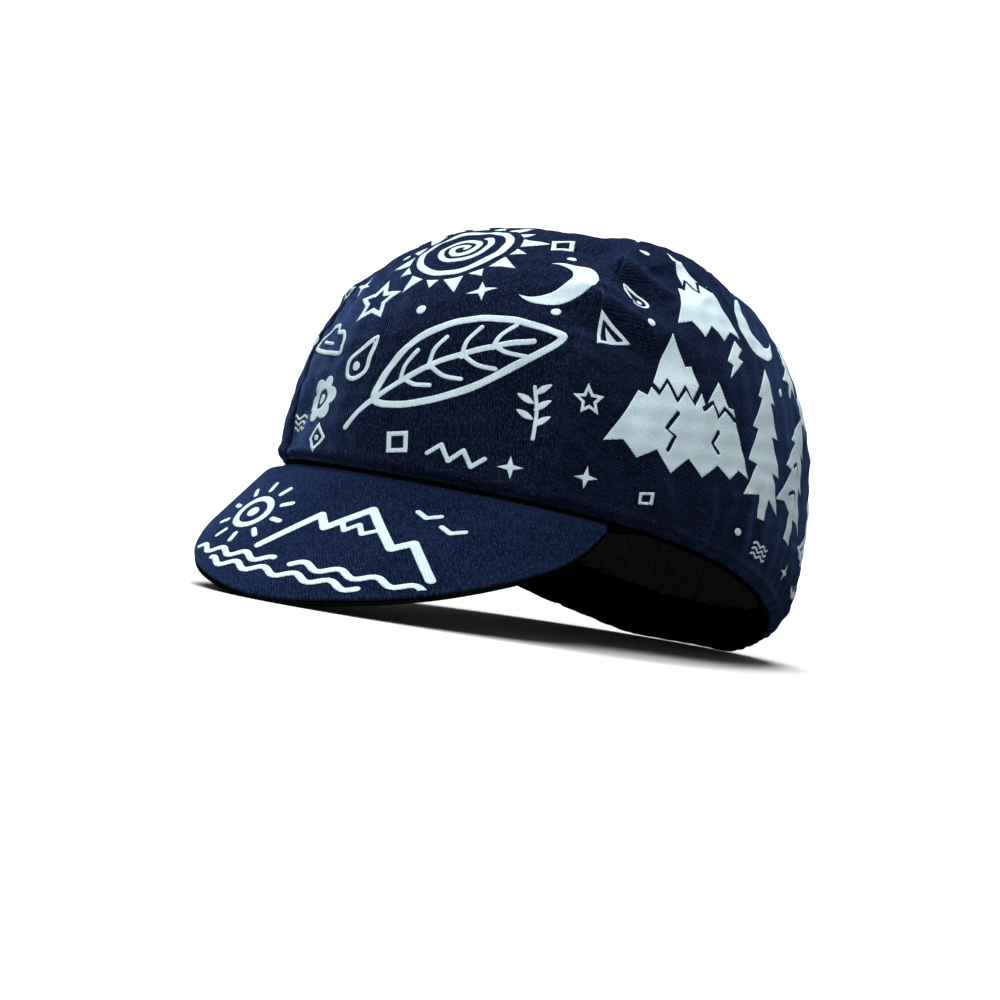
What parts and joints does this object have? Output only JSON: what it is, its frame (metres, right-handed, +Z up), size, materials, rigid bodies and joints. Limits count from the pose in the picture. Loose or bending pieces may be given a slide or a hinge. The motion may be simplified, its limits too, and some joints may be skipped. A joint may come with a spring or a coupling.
{
  "type": "cycling cap",
  "caption": "Soft cotton cap with a rounded crown of sewn gores, a gathered elastic back, a turned sweatband and a short curved peak.",
  "frame": {"origin": "on the surface that the cap stands on, under the middle of its bounding box", "axes": "+Z up; -Y towards the tip of the peak, which is the wearer's front; +X towards the wearer's left"},
  "size_m": [0.1634, 0.2586, 0.1313],
  "materials": {
    "navy_twill": "matt twill",
    "black_twill": "matt twill"
  },
  "bodies": {
    "root": {"front_gore": "navy_twill", "left_gore": "navy_twill", "back_gore": "navy_twill", "right_gore": "navy_twill", "sweatband": "black_twill", "peak_top": "navy_twill", "peak_underside": "black_twill"}
  },
  "joints": []
}
